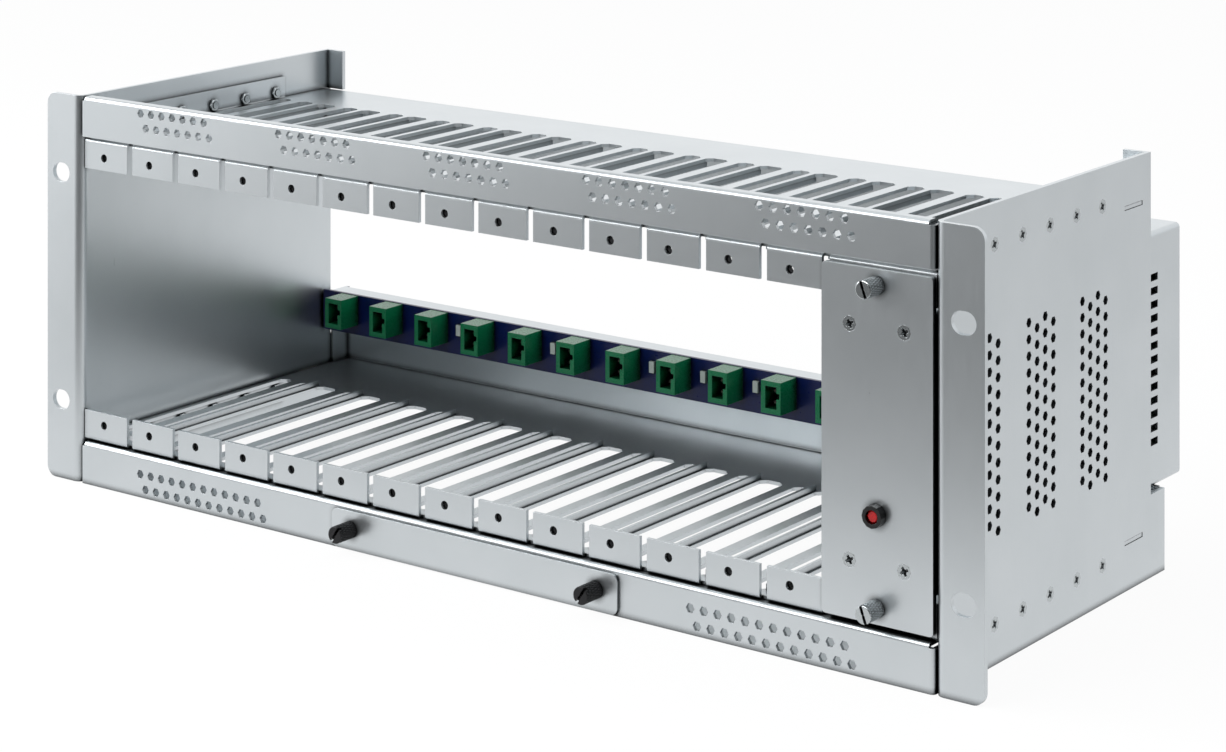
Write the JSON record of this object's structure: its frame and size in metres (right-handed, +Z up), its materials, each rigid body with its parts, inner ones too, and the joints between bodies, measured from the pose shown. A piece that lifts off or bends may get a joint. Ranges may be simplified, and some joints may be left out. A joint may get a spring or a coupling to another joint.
{
  "type": "rack mount card cage",
  "caption": "Folded sheet metal card cage for a 19 inch rack, with slotted card guides, a low backplane with connectors and a plug-in power supply at the right.",
  "frame": {"origin": "middle of the four rack slots, on the front face of the ears", "axes": "+X along the front to the right as seen from the front, +Y from the front to the rear, +Z up"},
  "size_m": [0.4826, 0.2092, 0.172],
  "materials": {
    "sheet": "satin",
    "steel_fastener": "satin",
    "black_fastener": "satin",
    "blue_board": "satin",
    "green_connector": "satin",
    "contact": "tinned",
    "white_part": "matt",
    "black_plastic": "satin",
    "red_lens": "gloss",
    "housing": "satin",
    "supply_board": "satin",
    "core": "matt",
    "winding": "satin",
    "capacitor": "satin",
    "heat_sink": "anodised"
  },
  "bodies": {
    "root": {"side_plate_left": "sheet", "side_plate_right": "sheet", "bottom_guide_plate": "sheet", "top_guide_plate": "sheet", "top_front_strip": "sheet", "bottom_front_strip": "sheet", "access_cover": "sheet", "power_supply_panel": "sheet", "power_supply_housing": "housing", "side_screws_left": "steel_fastener", "side_screws_right": "steel_fastener", "side_screw_nuts_left": "steel_fastener", "side_screw_nuts_right": "steel_fastener", "card_screw_nuts": "steel_fastener", "power_supply_nuts": "steel_fastener", "access_cover_nuts": "steel_fastener", "power_supply_thumbscrews": "steel_fastener", "access_cover_thumbscrews": "black_fastener", "panel_screws": "steel_fastener", "backplane_screws": "steel_fastener", "backplane_board": "blue_board", "board_resistors": "white_part", "connector_contacts": "contact", "indicator_bezel": "black_plastic", "indicator_lens": "red_lens", "power_supply_board": "supply_board", "board_spacers": "steel_fastener", "transformer_core": "core", "transformer_winding": "winding", "filter_capacitors": "capacitor", "heat_sink": "heat_sink", "card_connector_01": "green_connector", "card_connector_02": "green_connector", "card_connector_03": "green_connector", "card_connector_04": "green_connector", "card_connector_05": "green_connector", "card_connector_06": "green_connector", "card_connector_07": "green_connector", "card_connector_08": "green_connector", "card_connector_09": "green_connector", "card_connector_10": "green_connector", "card_connector_11": "green_connector", "card_connector_12": "green_connector", "card_connector_13": "green_connector", "card_connector_14": "green_connector"}
  },
  "joints": []
}
